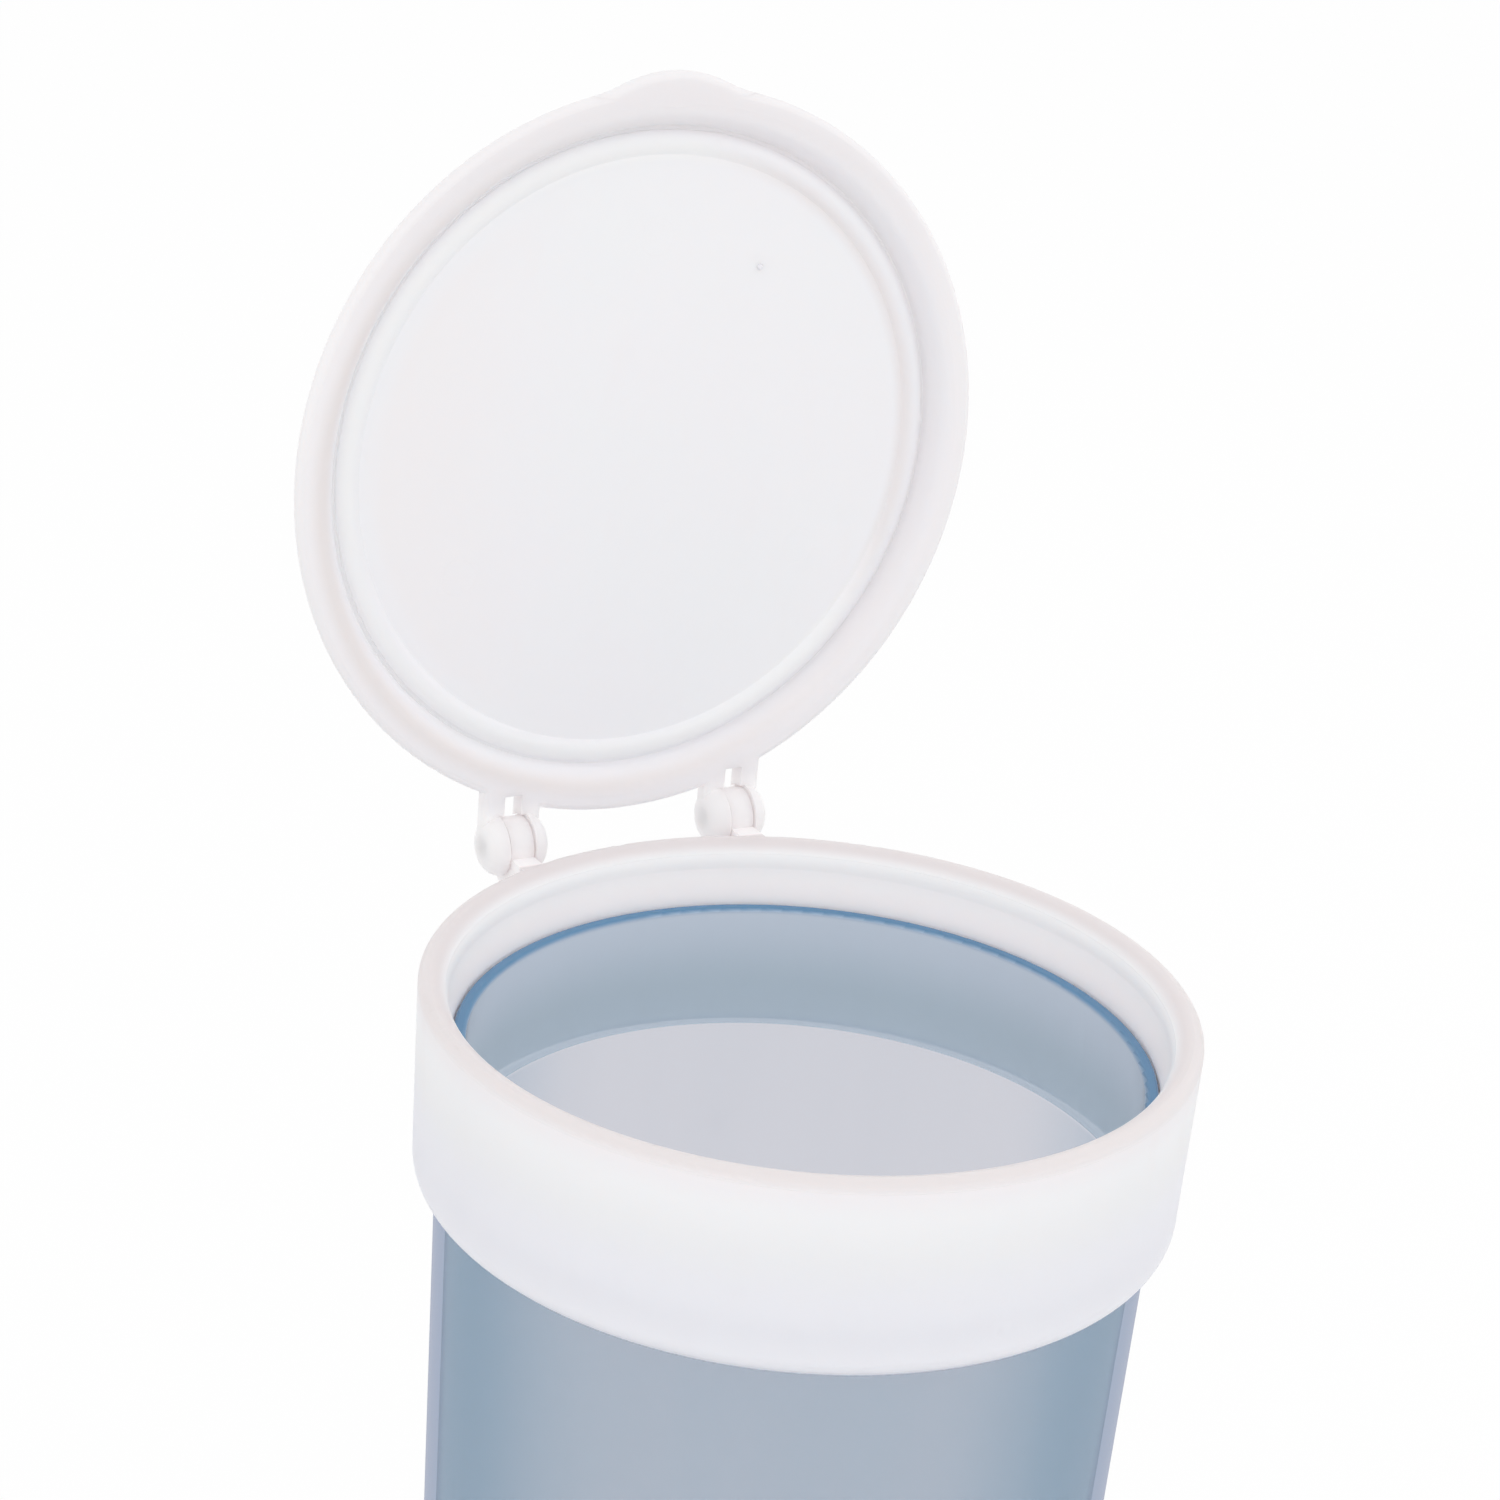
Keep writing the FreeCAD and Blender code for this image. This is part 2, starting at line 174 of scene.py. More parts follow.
class Graph:
    """The node tree of one material or world."""

    def __init__(self, tree: Any) -> None:
        """Empties a tree to build in.

        Args:
            tree: The node tree.
        """
        self.tree = tree
        tree.nodes.clear()

    def node(
        self,
        kind: str,
        settings: Optional[dict[str, Any]] = None,
        inputs: Optional[dict[Union[int, str], Any]] = None,
        output: Union[int, str] = 0,
    ) -> Signal:
        """Adds a node.

        Args:
            kind: The node's type.
            settings: Its settings, set first.
            inputs: Signals, numbers or colours for its sockets, by name or place.
            output: The output socket to return.

        Returns:
            The output socket as a signal.
        """
        made = self.tree.nodes.new(kind)
        for name, value in (settings or {}).items():
            setattr(made, name, value)
        for key, value in (inputs or {}).items():
            if isinstance(value, Signal):
                self.tree.links.new(value.socket, made.inputs[key])
            elif isinstance(value, tuple) and made.inputs[key].type == "RGBA":
                made.inputs[key].default_value = (*value, 1.0)
            else:
                made.inputs[key].default_value = value
        return Signal(self, made.outputs[output]) if made.outputs else Signal(self, None)

    def place(self) -> Signal:
        """The point on the surface, in metres in the row frame."""
        return self.node("ShaderNodeTexCoord", output="Object")

    def axes(self, point: Signal) -> tuple[Signal, Signal, Signal]:
        """The three numbers of a point.

        Args:
            point: The point.

        Returns:
            Its x, y and z.
        """
        split = self.node("ShaderNodeSeparateXYZ", inputs={0: point})
        outputs = split.socket.node.outputs
        return Signal(self, outputs[0]), Signal(self, outputs[1]), Signal(self, outputs[2])

    def noise(self, point: Signal, grain: float, detail: float = 2.0, rough: float = 0.5) -> Signal:
        """Smooth noise from 0 to 1.

        Args:
            point: Where it is read.
            grain: The size of its features in metres.
            detail: How many finer layers it has.
            rough: How strong the finer layers are.

        Returns:
            The noise.
        """
        return self.node(
            "ShaderNodeTexNoise",
            inputs={"Vector": point, "Scale": 1.0 / grain, "Detail": detail, "Roughness": rough},
        )

    def stretched(self, point: Signal, scale: Colour) -> Signal:
        """A point with each axis scaled, to draw noise out along one of them.

        Args:
            point: The point.
            scale: The scale along each axis.

        Returns:
            The scaled point.
        """
        return self.node("ShaderNodeVectorMath", {"operation": "MULTIPLY"}, {0: point, 1: scale})

    def blend(self, share: Any, first: Any, second: Any) -> Signal:
        """A mix of two colours.

        Args:
            share: How much of the second, from 0 to 1.
            first: The first colour.
            second: The second colour.

        Returns:
            The mixed colour.
        """
        return self.node(
            "ShaderNodeMix", {"data_type": "RGBA"}, {0: share, 6: first, 7: second}, output=2
        )

    def coats(self, base: Any, *coats: tuple[Any, Any]) -> Signal:
        """Lays coats over a base colour, one after another.

        Args:
            base: The base colour.
            coats: Each coat's share, from 0 to 1, and its colour.

        Returns:
            The colour with all its coats.
        """
        colour = base
        for share, coat in coats:
            colour = self.blend(share, colour, coat)
        return colour

    def mix(self, share: Any, first: Signal, second: Signal) -> Signal:
        """A mix of two shaders.

        Args:
            share: How much of the second, from 0 to 1.
            first: The first shader.
            second: The second shader.

        Returns:
            The mixed shader.
        """
        return self.node("ShaderNodeMixShader", inputs={0: share, 1: first, 2: second})

    def surface(self, shader: Signal) -> None:
        """Ends a material's graph in a shader."""
        self.node("ShaderNodeOutputMaterial", inputs={"Surface": shader})

    def bump(self, height: Signal, depth: float, under: Optional[Signal] = None) -> Signal:
        """A normal bent by a height.

        Args:
            height: The height, from 0 to 1.
            depth: What a height of 1 stands for, in metres.
            under: A normal to bend further, if there is one.

        Returns:
            The bent normal.
        """
        inputs: dict[Union[int, str], Any] = {"Height": height, "Distance": depth, "Strength": 1.0}
        if under is not None:
            inputs["Normal"] = under
        return self.node("ShaderNodeBump", inputs=inputs)


def new_material(name: str) -> tuple[bpy.types.Material, Graph]:
    """Makes an empty material.

    Args:
        name: Its name.

    Returns:
        The material and its graph.
    """
    material = bpy.data.materials.new(name)
    material.use_nodes = True
    return material, Graph(material.node_tree)


def reach(first: Signal, second: Signal) -> Signal:
    """The length of a line from its two legs.

    Args:
        first: The first leg.
        second: The second leg, square to the first.

    Returns:
        The length.
    """
    return (first * first + second * second).root()


# ---------------------------------------------------------------------- finishes
# A Span holds the value at which a mask is 0 and the value at which it is 1.


@dataclass(frozen=True)
class ClearBlue:
    """Clear blue plastic of the body: a tinted wall with a gloss skin, deeper in colour at its cut edge, with
    painted shade on its neck inside the collar.
    """

    name: str = "clear_blue"
    roughness: float = 0.06
    skin_roughness: float = 0.12
    roughness_play: float = 0.04
    specular: float = 0.25

    # Tints of the clear wall: seen straight on, at a slant and at the body's outline
    tint: Colour = (0.840, 0.829, 0.857)
    deep_tint: Colour = (0.712, 0.742, 0.797)
    rim_tint: Colour = (0.575, 0.595, 0.700)
    slant: Span = (0.24, 0.64)
    slant_share: float = 0.95
    cloud_share: float = 0.05
    outline: Span = (0.72, 0.79)

    # Colours of the milky share of the wall, from its foot up; those of the neck, its foot and the lip's
    # round are painted shade
    haze_colour: Colour = (0.12, 0.50, 0.68)
    mark_colour: Colour = (0.27, 0.42, 0.58)
    # Painted shade: darker just above the collar's foot
    foot_colour: Colour = (0.50, 0.62, 0.74)
    # Painted shade: the blue wall with the shaded collar behind it, grading lighter toward the lip
    neck_colour: Colour = (0.657, 0.770, 0.847)
    lip_colour: Colour = (0.78, 0.865, 0.955)
    # Painted shade on the lip's round, dimming the light that it catches
    round_colour: Colour = (0.54, 0.67, 0.82)
    edge_colour: Colour = (0.13, 0.31, 0.52)
    foot_share: float = 0.4

    # How milky the wall is, and how much its skin mirrors
    haze: float = 0.06
    haze_play: float = 0.03
    skin_haze: float = 0.085
    neck_haze: float = 0.80
    crown_haze: float = 0.75
    mark_haze: float = 0.42
    gloss: float = 0.045
    skin_gloss: float = 0.09
    rim_gloss: float = 0.10
    rim_power: float = 5.0

    # Heights
    bare_z: Span = (COLLAR_FOOT_Z, COLLAR_FOOT_Z - 2 * MM)
    under_collar_z: Span = (COLLAR_FOOT_Z + 0.3 * MM, COLLAR_FOOT_Z - 0.3 * MM)
    neck_z: Span = (COLLAR_FOOT_Z + 0.17 * MM, COLLAR_FOOT_Z + 0.53 * MM)
    neck_foot_z: Span = (COLLAR_FOOT_Z + 2.4 * MM, COLLAR_FOOT_Z + 0.6 * MM)
    neck_rise_z: Span = (COLLAR_FOOT_Z + 6 * MM, LIP_Z - 1 * MM)
    round_z: Span = (LIP_Z - 0.95 * MM, LIP_Z - 0.30 * MM)
    crown_z: Span = (LIP_Z - 0.60 * MM, LIP_Z - 0.02 * MM)

    # Distances from the middle of the wall, whose radius is given at the collar's foot
    middle_radius: float = 45.7 * MM
    outside: Span = (-0.2 * MM, 0.2 * MM)
    proud: Span = (0.92 * MM, 1.02 * MM)

    # Relief of the skin
    relief_depth: float = 0.02 * MM
    streak_grain: float = 9 * MM
    streak_stretch: Colour = (1.0, 1.0, 0.12)
    streak_relief: float = 0.6
    cloud_grain: float = 42 * MM
    ripple_grain: float = 1.6 * MM
    ripple_relief: float = 0.12
    seam_half: float = 0.16 * MM
    seam_relief: float = 0.9
    swirl_pitch: float = 0.9 * MM
    swirl_z: Span = (4.5 * MM, 3.2 * MM)
    swirl_relief: float = 0.10

    def material(self) -> bpy.types.Material:
        """Builds the material."""
        material, g = new_material(self.name)
        point = g.place()
        x, y, z = g.axes(point)
        radius = reach(x, y)
        streaks = g.noise(g.stretched(point, self.streak_stretch), self.streak_grain)
        cloud = g.noise(point, self.cloud_grain, detail=1.0)
        bare = z.ramp(*self.bare_z)
        normal = self.relief(g, point, streaks)
        facing = g.node("ShaderNodeLayerWeight", inputs={"Blend": 0.5}, output="Facing")
        front = 1.0 - g.node("ShaderNodeNewGeometry", output="Backfacing")
        from_middle = radius - (z * WALL_DRAFT + (self.middle_radius - COLLAR_FOOT_Z * WALL_DRAFT))
        outer = from_middle.ramp(*self.outside)
        raised = from_middle.ramp(*self.proud)
        neck = z.ramp(*self.neck_z)
        crown = z.ramp(*self.crown_z)

        slant = facing.ramp(*self.slant) * z.ramp(*self.under_collar_z)
        clear, deep, outline = (
            g.node("ShaderNodeBsdfTransparent", inputs={"Color": tint})
            for tint in (self.tint, self.deep_tint, self.rim_tint)
        )
        wall = g.mix(slant * self.slant_share + cloud * self.cloud_share, clear, deep)
        wall = g.mix(facing.ramp(*self.outline) * bare * outer, wall, outline)
        mirror = g.node("ShaderNodeBsdfGlossy", inputs={"Roughness": self.roughness, "Normal": normal})
        gloss = self.gloss + outer * front * self.skin_gloss + facing**self.rim_power * self.rim_gloss
        wall = g.mix(gloss * front * (1.0 - neck), wall, mirror)

        skin = g.node(
            "ShaderNodeBsdfPrincipled",
            inputs={
                "Base Color": self.skin_colour(g, z, neck, crown, raised),
                "Roughness": (streaks - 0.5) * self.roughness_play + self.skin_roughness,
                "IOR": PLASTIC_IOR,
                "Specular IOR Level": self.specular,
                "Normal": normal,
            },
        )
        milky = self.haze + outer * front * self.skin_haze + neck * (self.neck_haze - self.haze)
        milky = (milky + (streaks - 0.5) * self.haze_play).most(crown * self.crown_haze)
        g.surface(g.mix(milky.most(raised * self.mark_haze), wall, skin))
        return material

    def relief(self, g: Graph, point: Signal, streaks: Signal) -> Signal:
        """The moulded skin's unevenness: streaks, a ripple, the mould's seam and turned rings under the base.

        Args:
            g: The graph to build in.
            point: The point on the surface.
            streaks: Upright flow streaks.

        Returns:
            The bent normal.
        """
        x, y, z = g.axes(point)
        ripple = g.noise(point, self.ripple_grain, detail=1.0)
        seam = y.band(0.0, self.seam_half) * z.ramp(*self.bare_z)
        swirl = (reach(x, y) * (math.tau / self.swirl_pitch)).sine() * z.ramp(*self.swirl_z)
        height = streaks * self.streak_relief + ripple * self.ripple_relief
        height = height + seam * self.seam_relief + swirl * self.swirl_relief
        return g.bump(height, self.relief_depth)

    def skin_colour(self, g: Graph, z: Signal, neck: Signal, crown: Signal, raised: Signal) -> Signal:
        """Colour of the milky share: plain wall, neck, lip and marks, with painted shade on the neck, darkest
        at the collar's foot, lighter toward the lip and darker again on the lip's round.

        Args:
            g: The graph to build in.
            z: The height.
            neck: Mask of the neck.
            crown: Mask of the lip's top.
            raised: Mask of the bars and figures.

        Returns:
            The colour.
        """
        # Painted shade on the neck, grading lighter toward the lip
        shade = g.blend(z.ramp(*self.neck_rise_z), self.neck_colour, self.lip_colour)
        shade = g.coats(
            shade,
            # painted shade just above the collar's foot
            (z.ramp(*self.neck_foot_z) * self.foot_share, self.foot_colour),
            # painted shade on the lip's round
            (z.ramp(*self.round_z), self.round_colour),
        )
        return g.coats(
            self.haze_colour, (neck, shade), (crown, self.edge_colour), (raised, self.mark_colour)
        )


@dataclass(frozen=True)
class MilkyWhite:
    """Milky moulded plastic, with warmer and cooler patches where it flowed."""

    name: str
    colour: Colour
    warm: Colour
    cool: Colour
    roughness: float = 0.42
    roughness_play: float = 0.08
    specular: float = 0.45
    glow: float = 0.30
    glow_reach: float = 3 * MM
    glow_tint: Colour = (1.0, 0.92, 0.88)

    cloud_grain: float = 26 * MM
    cloud_edge: Span = (0.35, 0.70)
    cloud_share: float = 0.55
    flow_grain: float = 7 * MM
    flow_stretch: Colour = (1.0, 1.0, 0.35)
    flow_edge: Span = (0.52, 0.80)
    flow_share: float = 0.30

    grain: float = 0.38 * MM
    grain_depth: float = 0.006 * MM
    wave_grain: float = 5.5 * MM
    wave_depth: float = 0.03 * MM

    def shade(self, g: Graph, point: Signal) -> tuple[Signal, Signal]:
        """Mottled colour and roughness, without any marks of the piece itself.

        Args:
            g: The graph to build in.
            point: The point on the surface.

        Returns:
            The colour and the roughness.
        """
        cloud = g.noise(point, self.cloud_grain, rough=0.45)
        flow = g.noise(g.stretched(point, self.flow_stretch), self.flow_grain, detail=3.0)
        colour = g.coats(
            self.colour,
            (cloud.ramp(*self.cloud_edge) * self.cloud_share, self.cool),
            (flow.ramp(*self.flow_edge) * self.flow_share, self.warm),
        )
        return colour, self.roughness + (flow - 0.5) * self.roughness_play

    def dress(
        self, g: Graph, colour: Signal, roughness: Signal, normal: Signal, leak: Any = NO_LEAK
    ) -> None:
        """Ends the graph in the shader.

        Args:
            g: The graph to build in.
            colour: The colour.
            roughness: The roughness.
            normal: The bent normal.
            leak: Painted glow, an emission colour standing in for the light that the milky wall lets through.
        """
        shader = g.node(
            "ShaderNodeBsdfPrincipled",
            inputs={
                "Base Color": colour,
                "Roughness": roughness,
                "IOR": PLASTIC_IOR,
                "Specular IOR Level": self.specular,
                "Subsurface Weight": self.glow,
                "Subsurface Radius": self.glow_tint,
                "Subsurface Scale": self.glow_reach,
                # painted glow: emission standing in for light through the milky wall
                "Emission Color": leak,
                "Emission Strength": 1.0,
                "Normal": normal,
            },
        )
        g.surface(shader)

    def orange_peel(self, g: Graph, point: Signal) -> Signal:
        """The fine uneven surface of a moulded piece, as a bent normal.

        Args:
            g: The graph to build in.
            point: The point on the surface.

        Returns:
            The bent normal.
        """
        waves = g.noise(point, self.wave_grain, detail=1.0)
        fine = g.noise(point, self.grain, rough=0.6)
        return g.bump(waves, self.wave_depth, g.bump(fine, self.grain_depth))


@dataclass(frozen=True)
class CollarWhite(MilkyWhite):
    """The thick collar's plastic, with a gate mark and a parting line round the side, painted shade on its
    top band and soft crest, and painted light and glow inside the mouth, toward its foot and on the hinge
    ears.
    """

    name: str = "collar_white"
    colour: Colour = (0.935, 0.922, 0.962)
    warm: Colour = (0.900, 0.848, 0.850)
    cool: Colour = (0.912, 0.918, 0.965)
    glow: float = 0.65
    glow_reach: float = 5 * MM

    # Painted light and shade: a lighter mouth, foot band and ears, a darker pinker crest and a darker warm
    # top band, and glows (emission) that stand in for light through the milky wall
    mouth: Colour = (0.985, 0.968, 0.975)
    crest: Colour = (0.770, 0.722, 0.725)
    low: Colour = (0.962, 0.945, 0.995)
    low_share: float = 0.8
    rim_share: float = 0.6
    rim_roughness: float = 0.05
    ear: Colour = (0.975, 0.938, 0.942)
    mouth_leak: Colour = (0.078, 0.047, 0.038)
    ear_leak: Colour = (0.060, 0.050, 0.050)
    side_leak: Colour = (0.0, 0.0, 0.024)

    rim_z: Span = (COLLAR_TOP_Z - 5.5 * MM, COLLAR_TOP_Z - 0.8 * MM)
    low_z: Span = (COLLAR_FOOT_Z + 19 * MM, COLLAR_FOOT_Z + 9 * MM)
    crest_z: Span = (COLLAR_TOP_Z - 1.9 * MM, COLLAR_TOP_Z - 0.25 * MM)
    mouth_leak_z: Span = (COLLAR_TOP_Z - 2 * MM, COLLAR_TOP_Z - 6.5 * MM)
    above_lip_z: Span = (LIP_Z - 1 * MM, LIP_Z + 1 * MM)
    inner_wall: Span = (48.2 * MM, 46.9 * MM)

    ear_y: Span = (50.1 * MM, 51.0 * MM)
    ear_z: Span = (COLLAR_TOP_Z + 0.1 * MM, COLLAR_TOP_Z + 0.5 * MM)
    root_x: float = 17.1 * MM
    root_half: float = 3.0 * MM
    root_edge: Span = (0.05, 0.35)
    root_y: Span = (46.4 * MM, 47.4 * MM)

    parting_z: float = COLLAR_TOP_Z - 1.55 * MM
    parting_half: float = 0.11 * MM
    parting_relief: float = 0.5
    gate_y: Span = (-48.5 * MM, -49.9 * MM)
    gate_z: float = 192 * MM
    gate_half: float = 1.1 * MM
    mark_depth: float = 0.06 * MM

    def material(self) -> bpy.types.Material:
        """Builds the material."""
        material, g = new_material(self.name)
        point = g.place()
        x, y, z = g.axes(point)
        colour, roughness = self.shade(g, point)
        rim = z.ramp(*self.rim_z)
        low = z.ramp(*self.low_z)
        inside = reach(x, y).ramp(*self.inner_wall) * z.ramp(*self.above_lip_z)
        roots = y.ramp(*self.root_y) * x.size().band(self.root_x, self.root_half).ramp(*self.root_edge)
        ears = y.ramp(*self.ear_y).most(z.ramp(*self.ear_z)).most(roots)
        colour = g.coats(
            colour,
            # painted shade: the top band warmer and darker
            (rim * self.rim_share, self.warm),
            # painted light: lighter and bluer toward the foot
            (low * self.low_share, self.low),
            # painted light: the inner wall of the mouth lighter
            (inside, self.mouth),
            # painted shade: the crest darker and pinker
            (z.ramp(*self.crest_z), self.crest),
            # painted light: the hinge ears and their roots lighter
            (ears, self.ear),
        )
        # Painted glow (emission) that stands in for light through the milky wall: toward the foot, inside the
        # mouth and on the ears
        leak = g.coats(
            NO_LEAK,
            (low, self.side_leak),
            (inside * z.ramp(*self.mouth_leak_z), self.mouth_leak),
            (ears, self.ear_leak),
        )
        parting = z.band(self.parting_z, self.parting_half) * self.parting_relief
        gate = y.ramp(*self.gate_y) * x.band(0.0, self.gate_half) * z.band(self.gate_z, self.gate_half)
        normal = g.bump(parting + gate, self.mark_depth, self.orange_peel(g, point))
        self.dress(g, colour, roughness + rim * self.rim_roughness, normal, leak)
        return material


@dataclass(frozen=True)
class LidWhite(MilkyWhite):
    """The thin lid's plastic, with painted shade and highlight in rings round the lid's own centre over its
    dished panel, bead and flange, and painted light and glow on its hinge arms.
    """

    name: str = "lid_white"
    colour: Colour = (0.915, 0.895, 0.938)
    warm: Colour = (0.910, 0.862, 0.868)
    cool: Colour = (0.893, 0.904, 0.938)
    glow: float = 0.75
    glow_reach: float = 4 * MM
    roughness: float = 0.36

    # Painted light and shade: a highlight and shade on the bead, shade on the land, the flange, the top and
    # the panel's left, lighter hinge arms and their glow (emission)
    bright: Colour = (0.985, 0.965, 0.972)
    land_shade: Colour = (0.828, 0.782, 0.778)
    top_shade: Colour = (0.835, 0.806, 0.822)
    arm: Colour = (0.975, 0.938, 0.942)
    arm_leak: Colour = (0.045, 0.038, 0.038)
    rim_share: float = 0.7
    top_share: float = 0.8
    bead_share: float = 0.8
    blush_share: float = 0.7

    # The soft shading leans to one side: its centre stands off the lid's own
    lean_x: float = 1.0 * MM
    lean_up: float = 0.6 * MM
    land_radius: float = 46.0 * MM
    land_half: float = 2.3 * MM
    land_share: float = 0.75
    land_fall_x: float = 0.3
    land_fall_up: float = 0.15
    bead_radius: float = 42.2 * MM
    bead_half: float = 2.0 * MM
    bead_slope: float = 0.4
    bead_turn: Span = (16 * MM, 38 * MM)

    rim_radius: Span = (45.0 * MM, 48.0 * MM)
    top_radius: Span = (46.5 * MM, 48.5 * MM)
    top_up: Span = (10 * MM, 42 * MM)
    blush_x: Span = (-6 * MM, -34 * MM)
    blush_radius: Span = (41 * MM, 37 * MM)
    arm_z: Span = (HINGE_Z + 6.5 * MM, HINGE_Z + 3.5 * MM)
    arm_x: Span = (11.8 * MM, 12.6 * MM)
    polish_radius: Span = (45 * MM, 20 * MM)
    polish: float = 0.03

    back_y: Span = (57.2 * MM, 57.8 * MM)
    turned_pitch: float = 1.4 * MM
    turned_relief: float = 0.08
    gate_half: float = 1.0 * MM
    gate_relief: float = 3.0
    mark_depth: float = 0.05 * MM
    ejector_turns: tuple[int, ...] = (90, 210, 330)
    ejector_reach: float = 30 * MM
    ejector_radius: float = 2.5 * MM
    ejector_half: float = 0.14 * MM
    ejector_relief: float = 0.30

    def material(self) -> bpy.types.Material:
        """Builds the material."""
        material, g = new_material(self.name)
        point = g.place()
        x, y, z = g.axes(point)
        up = z - LID_CENTRE_Z
        radius = reach(x, up)
        leaning = reach(x + self.lean_x, up + self.lean_up)
        colour, roughness = self.shade(g, point)
        top = radius.ramp(*self.top_radius) * up.ramp(*self.top_up)
        land = leaning.band(self.land_radius, self.land_half)
        land = land * (
            self.land_share
            - x * (self.land_fall_x / self.land_radius)
            - up * (self.land_fall_up / self.land_radius)
        )
        # The bead's colour: painted highlight on its left and lower side, turning to painted shade on its
        # right
        bead = g.blend((x + up * self.bead_slope).ramp(*self.bead_turn), self.bright, self.land_shade)
        # Painted shade on the panel's left side
        panel_left_shade = x.ramp(*self.blush_x) * radius.ramp(*self.blush_radius)
        arms = z.ramp(*self.arm_z) * x.size().ramp(*self.arm_x)
        colour = g.coats(
            colour,
            # painted shade: the flange warmer and darker
            (radius.ramp(*self.rim_radius) * self.rim_share, self.warm),
            (top * self.top_share, self.top_shade),
            (land, self.land_shade),
            (leaning.band(self.bead_radius, self.bead_half) * self.bead_share, bead),
            # painted shade on the panel's left
            (panel_left_shade * self.blush_share, self.warm),
            # painted light: the hinge arms lighter
            (arms, self.arm),
        )
        back = y.ramp(*self.back_y)
        gate = radius.band(0.0, self.gate_half) * back
        turned = (radius * (math.tau / self.turned_pitch)).sine() * back
        marks = gate * self.gate_relief + self.ejector_rings(x, up) + turned * self.turned_relief
        normal = g.bump(marks, self.mark_depth, self.orange_peel(g, point))
        roughness = roughness - radius.ramp(*self.polish_radius) * self.polish
        # Painted glow (emission) on the hinge arms
        self.dress(g, colour, roughness, normal, g.blend(arms, NO_LEAK, self.arm_leak))
        return material

    def ejector_rings(self, x: Signal, up: Signal) -> Signal:
        """Faint round marks of the ejector pins on the panel.

        Args:
            x: Place across the lid.
            up: Place up the lid from its centre.

        Returns:
            The height of the marks.
        """
        total = x * 0.0
        for turn in self.ejector_turns:
            angle = math.radians(turn)
            aside, above = math.cos(angle) * self.ejector_reach, math.sin(angle) * self.ejector_reach
            total = total + reach(x - aside, up - above).band(self.ejector_radius, self.ejector_half)
        return total * self.ejector_relief


@dataclass(frozen=True)
class SealRubber:
    """Soft milky silicone of the seal, with a fine powdery bloom."""

    name: str = "seal_rubber"
    colour: Colour = (0.86, 0.865, 0.875)
    bloom_colour: Colour = (0.91, 0.915, 0.92)
    bloom_grain: float = 1.2 * MM
    bloom_edge: Span = (0.4, 0.75)
    bloom_share: float = 0.5
    roughness: float = 0.62
    roughness_play: float = 0.15
    ior: float = 1.5
    grain: float = 0.3 * MM
    grain_depth: float = 0.008 * MM

    def material(self) -> bpy.types.Material:
        """Builds the material."""
        material, g = new_material(self.name)
        point = g.place()
        bloom = g.noise(point, self.bloom_grain, detail=3.0)
        shader = g.node(
            "ShaderNodeBsdfPrincipled",
            inputs={
                "Base Color": g.blend(
                    bloom.ramp(*self.bloom_edge) * self.bloom_share, self.colour, self.bloom_colour
                ),
                "Roughness": self.roughness + (bloom - 0.5) * self.roughness_play,
                "IOR": self.ior,
                "Normal": g.bump(g.noise(point, self.grain), self.grain_depth),
            },
        )
        g.surface(shader)
        return material


@dataclass(frozen=True)
class PinPlastic(MilkyWhite):
    """Hard polished plastic of the hinge pins, with rubbed rings from the turning lid."""

    name: str = "pin_white"
    colour: Colour = (0.845, 0.850, 0.870)
    warm: Colour = (0.80, 0.785, 0.780)
    cool: Colour = (0.82, 0.845, 0.870)
    roughness: float = 0.28
    grain: float = 0.12 * MM
    rub_grain: float = 0.35 * MM
    rub_stretch: Colour = (1.0, 0.02, 0.02)
    rub_edge: Span = (0.5, 0.7)
    rub_share: float = 0.4
    rub_roughness: float = 0.15

    def material(self) -> bpy.types.Material:
        """Builds the material."""
        material, g = new_material(self.name)
        point = g.place()
        colour, roughness = self.shade(g, point)
        rubbed = g.noise(g.stretched(point, self.rub_stretch), self.rub_grain).ramp(*self.rub_edge)
        colour = g.blend(rubbed * self.rub_share, colour, self.warm)
        self.dress(g, colour, roughness + rubbed * self.rub_roughness, self.orange_peel(g, point))
        return material


# ------------------------------------------------------------- modelling helpers


def deselect() -> None:
    """Leaves nothing selected."""
    bpy.ops.object.select_all(action="DESELECT")


def only(piece: bpy.types.Object) -> None:
    """Makes one piece the selected and active one.

    Args:
        piece: The piece.
    """
    deselect()
    piece.select_set(True)
    bpy.context.view_layer.objects.active = piece


def settle(piece: bpy.types.Object) -> None:
    """Moves a piece's place into its mesh.

    Args:
        piece: The piece.
    """
    only(piece)
    bpy.ops.object.transform_apply(location=True, rotation=True, scale=True)


def finish_piece(
    piece: bpy.types.Object, name: str, material: bpy.types.Material, rider: Rider
) -> bpy.types.Object:
    """Names, dresses and rides a piece.

    Args:
        piece: The piece.
        name: Its name.
        material: Its material.
        rider: The body it rides on.

    Returns:
        The piece.
    """
    piece.name = name
    piece.data.name = name
    piece.data.materials.clear()
    piece.data.materials.append(material)
    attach(piece, rider.value)
    log.info("%s: %d faces, rides on %s", name, len(piece.data.polygons), rider.value)
    return piece


def dress_node(name: str, material: bpy.types.Material) -> None:
    """Gives a CAD node its material.

    Args:
        name: The node's name.
        material: The material.
    """
    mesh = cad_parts[name].data
    mesh.materials.clear()
    mesh.materials.append(material)
    log.info("%s: %d faces, dressed in %s", name, len(mesh.polygons), material.name)


# -------------------------------------------------------------------- the pieces


